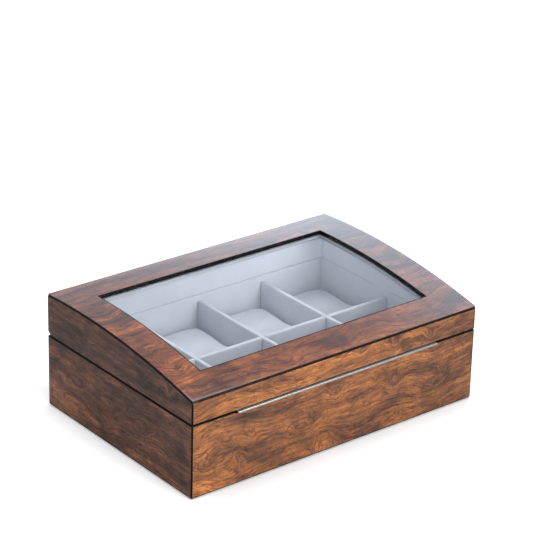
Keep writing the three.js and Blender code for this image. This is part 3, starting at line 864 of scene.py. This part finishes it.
def pillowShape(name, low, high):
    # rounded box: stacked rounded rectangles whose inset follows a quarter circle at the shoulders
    centre = (low + high) / 2
    size = (high - low) / 2
    shoulder = pillowLook["shoulder"]
    rise = np.linspace(0, pi / 2, pillowLook["rings"])
    inset = np.concatenate([shoulder * (1 - np.sin(rise)), shoulder * (1 - np.sin(rise[::-1]))])
    climb = size[2] - shoulder * (1 - np.cos(rise))
    level = np.concatenate([-climb, climb[::-1]])
    turn = np.linspace(0, pi / 2, pillowLook["cornerSteps"])
    rings = []
    for cut, z in zip(inset, level):
        radius = pillowLook["corner"] - cut
        halfX, halfY = size[0] - cut - radius, size[1] - cut - radius
        loop = []
        for quarter, (sx, sy) in enumerate(((1, 1), (-1, 1), (-1, -1), (1, -1))):
            angle = turn + quarter * pi / 2
            loop.append(np.column_stack([
                sx * halfX + radius * np.cos(angle), sy * halfY + radius * np.sin(angle)]))
        ring = np.concatenate(loop)
        rings.append(np.column_stack([ring + centre[:2], np.full(len(ring), centre[2] + z)]))
    grid = np.array(rings)
    count = grid.shape[1]
    faces = gridFaces(grid.shape[0], count, closeCols=True).tolist()
    faces += [list(range(count)), list(range((grid.shape[0] - 1) * count, grid.shape[0] * count))]
    return addMesh(name, grid.reshape(-1, 3), faces, [shadedPillowVelvet], sharp=180)


def vertexPlaces(piece):
    places = np.empty(len(piece.data.vertices) * 3)
    piece.data.vertices.foreach_get("co", places)
    return places.reshape(-1, 3)


def puffPillow(piece, extraTension):
    # voxel remesh, then a pressurised cloth; returns where the vertices went, with their travel capped
    remesh = piece.modifiers.new("remesh", "REMESH")
    remesh.mode = "VOXEL"
    remesh.voxel_size = pillowLook["voxel"] * mm
    applyModifiers(piece)
    start = vertexPlaces(piece)
    cloth = piece.modifiers.new("cloth", "CLOTH")
    cloth.settings.quality = clothLook["quality"]
    cloth.settings.mass = clothLook["mass"]
    cloth.settings.use_pressure = True
    cloth.settings.uniform_pressure_force = pillowLook["pressure"]
    cloth.settings.tension_stiffness = clothLook["tension"] + extraTension
    cloth.settings.compression_stiffness = clothLook["compression"]
    cloth.settings.bending_stiffness = clothLook["bending"]
    cloth.settings.effector_weights.gravity = 0
    cloth.point_cache.frame_start = 1
    cloth.point_cache.frame_end = pillowLook["frames"]
    for step in range(1, pillowLook["frames"] + 1):
        scene.frame_set(step)
    applyModifiers(piece)
    scene.frame_set(1)
    travel = vertexPlaces(piece) - start
    length = np.linalg.norm(travel, axis=1, keepdims=True)
    limit = pillowLook["cap"] * mm
    return start + travel * np.minimum(1, limit / np.maximum(length, 1e-9))


def softenPillow(piece, moved, low, high):
    # keep the swollen shape inside its node's box but for a crown on top, then one subdivision
    spare = pillowLook["spare"]
    inside = np.clip(moved, (low + spare) * mm, (high + (-spare, -spare, pillowLook["crown"])) * mm)
    piece.data.vertices.foreach_set("co", inside.ravel())
    subdivision = piece.modifiers.new("smooth", "SUBSURF")
    subdivision.levels = 1
    subdivision.render_levels = 1
    applyModifiers(piece)
    piece.data.shade_smooth()


for i in range(1, 9):
    low, high = nodeBox(f"pillow_{i}")
    inset = np.array([pillowLook["shrink"], pillowLook["shrink"], pillowLook["spare"]])
    pillow = pillowShape(f"pillow_{i}_velvet", low + inset * (1, 1, 0), high - inset)
    moved = puffPillow(pillow, i % 3)
    softenPillow(pillow, moved, low, high)
    finish(pillow, f"pillow_{i}", "pillow_velvet", f"pillow_{i}")
print("pillows ready")


boxPlate("liftStripPlate", "lid", "brushed_nickel", "lift_strip", 0, stripNickel, 0.25, 3)


def turnedPart(profile, start, centre, axis=0, steps=40):
    # profile (distance along the axis, radius) turned about it
    profile = np.asarray(profile, float)
    spin = np.tile(np.linspace(0, 2 * pi, steps, endpoint=False), len(profile))
    radius = np.repeat(profile[:, 1], steps)
    points = np.column_stack([np.repeat(start + profile[:, 0], steps),
                              centre[0] + radius * np.cos(spin), centre[1] + radius * np.sin(spin)])
    return np.roll(points, axis, axis=1), gridFaces(len(profile), steps, closeCols=True).tolist()


def joinParts(name, parts, materials, sharp=30.0):
    # one mesh from several lists of points and faces
    points, faces, offset = [], [], 0
    for partPoints, partFaces in parts:
        points.append(partPoints)
        faces += [[index + offset for index in face] for face in partFaces]
        offset += len(partPoints)
    return addMesh(name, np.concatenate(points), faces, materials, sharp=sharp)


def knuckleProfile(length, radius):
    soft = hingeLook["soft"]
    near = soft * 0.3
    return [(0, 0), (0, radius - soft), (near, radius - near), (soft, radius), (length - soft, radius),
            (length - near, radius - near), (length, radius - soft), (length, 0)]


def pinProfile(length):
    # domed head at each end of a shaft; distance from the end, radius
    dome = [(0, 0), (0.05, 0.9), (0.25, 1.5), (0.6, 1.85), (0.85, 1.9), (0.9, 1.2)]
    return dome + [(length - along, radius) for along, radius in reversed(dome)]


for name, (baseLow, baseHigh), (pinLow, pinHigh) in zip(("left", "right"), hingeBoxes, pinBoxes):
    axisY = (pinLow[1] + pinHigh[1]) / 2
    start, stop = baseLow[0], baseHigh[0]
    pitch = (stop - start + hingeLook["gap"]) / hingeLook["knuckles"]
    knuckle = pitch - hingeLook["gap"]
    plateBack = axisY - hingeLook["barrel"] - hingeLook["gap"]
    for holder, up in (("base", -1), ("lid", 1)):
        node = f"hinge_{name}_{holder}_leaf"
        leafFront = nodeBox(node)[0][1]
        z0, z1 = sorted(parting + up * (hingeLook["rim"] + share) for share in (0, hingeLook["leaf"]))
        parts = [blockPart((start, leafFront, z0), (stop, plateBack, z1))]
        for k in range(0 if holder == "base" else 1, hingeLook["knuckles"], 2):
            x0 = start + k * pitch
            parts.append(blockPart((x0, plateBack, z0), (x0 + knuckle, axisY, z1)))
            parts.append(turnedPart(knuckleProfile(knuckle, hingeLook["barrel"]), x0, (axisY, parting)))
        leaf = joinParts(f"hingeLeaf_{name}_{holder}", parts, [hingeNickel])
        finish(leaf, holder, "brushed_nickel", node)
    turned = turnedPart(pinProfile(pinHigh[0] - pinLow[0]), pinLow[0], (axisY, parting))
    pin = joinParts(f"hingePin_{name}", [turned], [hingeNickel])
    finish(pin, "base", "brushed_nickel", f"hinge_{name}_pin")


screwLook = {"head": 1.7, "rim": 0.12, "shank": 0.9, "length": 9.0, "steps": 28,
             "slot": 0.22, "reach": 1.05, "deep": 0.7, "above": 0.5}


def screwPiece(node, body, up):
    # countersunk screw turned about Z, with a crossed recess pressed into the head
    low, high = nodeBox(node)
    x, y = (low[:2] + high[:2]) / 2
    face = low[2] if up > 0 else high[2]
    head, shank, length = (screwLook[key] for key in ("head", "shank", "length"))
    profile = np.array([(0, 0), (0, head - screwLook["rim"]), (0.1, head), (0.2, head),
                        (0.9, shank), (length - 1, shank), (length, 0.1), (length, 0)])
    turned = turnedPart(profile * (up, 1), face, (x, y), 2, screwLook["steps"])
    piece = joinParts(node + "_turned", [turned], [hingeNickel])
    slot, arm = screwLook["slot"], screwLook["reach"]
    z0, z1 = sorted((face - up * screwLook["above"], face + up * screwLook["deep"]))
    cutFrom(piece, [((x - arm, y - slot, z0), (x + arm, y + slot, z1)),
                    ((x - slot, y - arm, z0), (x + slot, y + arm, z1))])
    finish(piece, body, "brushed_nickel", node)


for i in (1, 2, 3):
    screwPiece(f"strip_screw_{i}", "lid", 1)
for name in ("left", "right"):
    for i in (1, 2):
        screwPiece(f"hinge_{name}_base_screw_{i}", "base", -1)
        screwPiece(f"hinge_{name}_lid_screw_{i}", "lid", 1)

boxPlate("feltPad", "base", "felt", "base_felt_pad", 2, baseFelt, 0.4, 2)
boxPlate("bottomBoard", "base", "board", "base_bottom_board", 2, plainBoard, 0.3, 2)
print("metalwork and underside ready")


# near and far: strength of the floor's painted glow next to the box and beyond the fade; the dim glow near
# the box is a painted shadow
floorLook = {"size": 6.0, "paintedShadowShift": 20.0, "fade": 75.0, "near": 0.12, "far": 0.5}
stageLook = {"camera": (-1.10237, -1.355557, 0.907538),
             "azimuth": -39.17, "elevation": 24.033, "roll": 1.537, "lens": 2258.8 / 533 * 36}


def makeFloorMaterial():
    # pale floor that glows a little over white where it is seen; the glow is painted light, dimmed close
    # round the box into a painted shadow that is lighter to the left of it; greyer where it lights the box,
    # greyest in its lacquer
    material, tree, shader, place = newMaterial("paleFloor", (0.88, 0.88, 0.88), 0.7, **{
        "Specular IOR Level": 0.1, "Emission Color": (1, 1, 1, 1)})
    lighter = floorLook["paintedShadowShift"]
    centred = vectorNode(tree, "ABSOLUTE", vectorNode(tree, "SUBTRACT", place, (lighter, 0.0, 0.0)))
    beyond = vectorNode(tree, "SUBTRACT", centred, (halfWidth - lighter, halfDepth, 0.0))
    gaps = addNode(tree, "ShaderNodeSeparateXYZ", {0: beyond})
    far = mathNode(tree, "MAXIMUM", gaps.outputs["X"], gaps.outputs["Y"])
    # painted shadow: the floor's glow runs from near, next to the box, to far, beyond the fade
    lift = spread(tree, far, 0.0, floorLook["fade"], floorLook["near"], floorLook["far"], "SMOOTHSTEP")
    tree.links.new(lift, shader.inputs["Emission Strength"])
    rays = addNode(tree, "ShaderNodeLightPath").outputs
    bounce = addNode(tree, "ShaderNodeBsdfDiffuse", {"Color": (0.55, 0.55, 0.56, 1)}).outputs[0]
    mirrored = addNode(tree, "ShaderNodeBsdfDiffuse", {"Color": (0.2, 0.2, 0.2, 1)}).outputs[0]
    unseen = addNode(tree, "ShaderNodeMixShader", {
        0: rays["Is Glossy Ray"], 1: bounce, 2: mirrored}).outputs[0]
    seen = mathNode(tree, "MAXIMUM", rays["Is Camera Ray"], rays["Is Transmission Ray"])
    mix = addNode(tree, "ShaderNodeMixShader", {0: seen, 1: unseen, 2: shader.outputs[0]})
    tree.links.new(mix.outputs[0], tree.nodes["Material Output"].inputs["Surface"])
    return material


reach = floorLook["size"] / 2 / mm
floor = addMesh("floor", [(-reach, -reach, 0), (reach, -reach, 0), (reach, reach, 0), (-reach, reach, 0)],
                [[0, 1, 2, 3]], [makeFloorMaterial()])

cardLook = {"y": 900.0, "left": -300.0, "right": 2300.0, "top": 2200.0, "slant": 0.75, "rise": 435.0,
            "dark": 340.0, "light": 800.0, "low": 0.62, "high": 2.2, "fall": 0.9,
            "fallFrom": 450.0, "fallTo": 1500.0, "tone": (0.76, 0.88, 1.02, 1)}


def makeCard():
    # white wall behind and to the right: its glow rises smoothly over X less a share of the height,
    # and its dark side fades towards the top
    material, tree, shader, place = newMaterial("cardGlow", (0, 0, 0), 1.0)
    parts = addNode(tree, "ShaderNodeSeparateXYZ", {0: place})
    lean = times(tree, mathNode(tree, "SUBTRACT", parts.outputs["Z"], cardLook["rise"]), -cardLook["slant"])
    across = mathNode(tree, "ADD", parts.outputs["X"], lean)
    share = spread(tree, across, cardLook["dark"], cardLook["light"], kind="SMOOTHSTEP")
    height = spread(tree, parts.outputs["Z"], cardLook["fallFrom"], cardLook["fallTo"], 0.0, cardLook["fall"])
    dim = times(tree, height, mathNode(tree, "SUBTRACT", 1.0, mathNode(tree, "POWER", share, 2.0)))
    glow = times(tree, spread(tree, share, 0.0, 1.0, cardLook["low"], cardLook["high"]),
                 mathNode(tree, "SUBTRACT", 1.0, dim))
    emission = addNode(tree, "ShaderNodeEmission", {"Color": cardLook["tone"], "Strength": glow}).outputs[0]
    tree.links.new(emission, tree.nodes["Material Output"].inputs["Surface"])
    x0, x1, y, z1 = (cardLook[key] for key in ("left", "right", "y", "top"))
    corners = [(x0, y, 1), (x1, y, 1), (x1, y, z1), (x0, y, z1)]
    card = addMesh("softCard", corners, [[0, 1, 2, 3]], [material])
    card.visible_camera = False
    card.visible_transmission = False


makeCard()


def addLight(name, place, aim, size, power, tone=(1, 1, 1)):
    data = bpy.data.lights.new(name, "AREA")
    data.shape = "RECTANGLE"
    data.size, data.size_y = size
    data.energy = power
    data.color = tone
    light = bpy.data.objects.new(name, data)
    scene.collection.objects.link(light)
    light.location = place
    light.rotation_euler = (Vector(aim) - Vector(place)).to_track_quat("-Z", "Y").to_euler()
    return light


addLight("keyLight", (0.2, -1.45, 0.6), (0, 0, 0.05), (0.7, 0.7), 15.5)
addLight("topLight", (0.1, 0.1, 1.7), (0, 0, 0), (2.2, 2.2), 24)

world = bpy.data.worlds.new("studio")
world.use_nodes = True
scene.world = world
world.node_tree.nodes["Background"].inputs["Color"].default_value = (0.95, 0.97, 1.0, 1)
world.node_tree.nodes["Background"].inputs["Strength"].default_value = 0.5

azimuth, elevation, roll = (radians(stageLook[key]) for key in ("azimuth", "elevation", "roll"))
back = Vector((sin(azimuth) * cos(elevation), -cos(azimuth) * cos(elevation), sin(elevation)))
right = (-back).cross(Vector((0, 0, 1))).normalized()
up = right.cross(-back)
turnedRight = right * cos(roll) + up * sin(roll)
turnedUp = up * cos(roll) - right * sin(roll)
cameraData = bpy.data.cameras.new("camera")
cameraData.sensor_width = 36
cameraData.lens = stageLook["lens"]
cameraData.clip_end = 50
camera = bpy.data.objects.new("camera", cameraData)
scene.collection.objects.link(camera)
turn = Matrix((turnedRight, turnedUp, back)).transposed().to_4x4()
camera.matrix_world = Matrix.Translation(Vector(stageLook["camera"])) @ turn
scene.camera = camera
scene.view_settings.view_transform = "Standard"
scene.view_settings.look = "None"
print("stage ready")

bpy.context.view_layer.update()
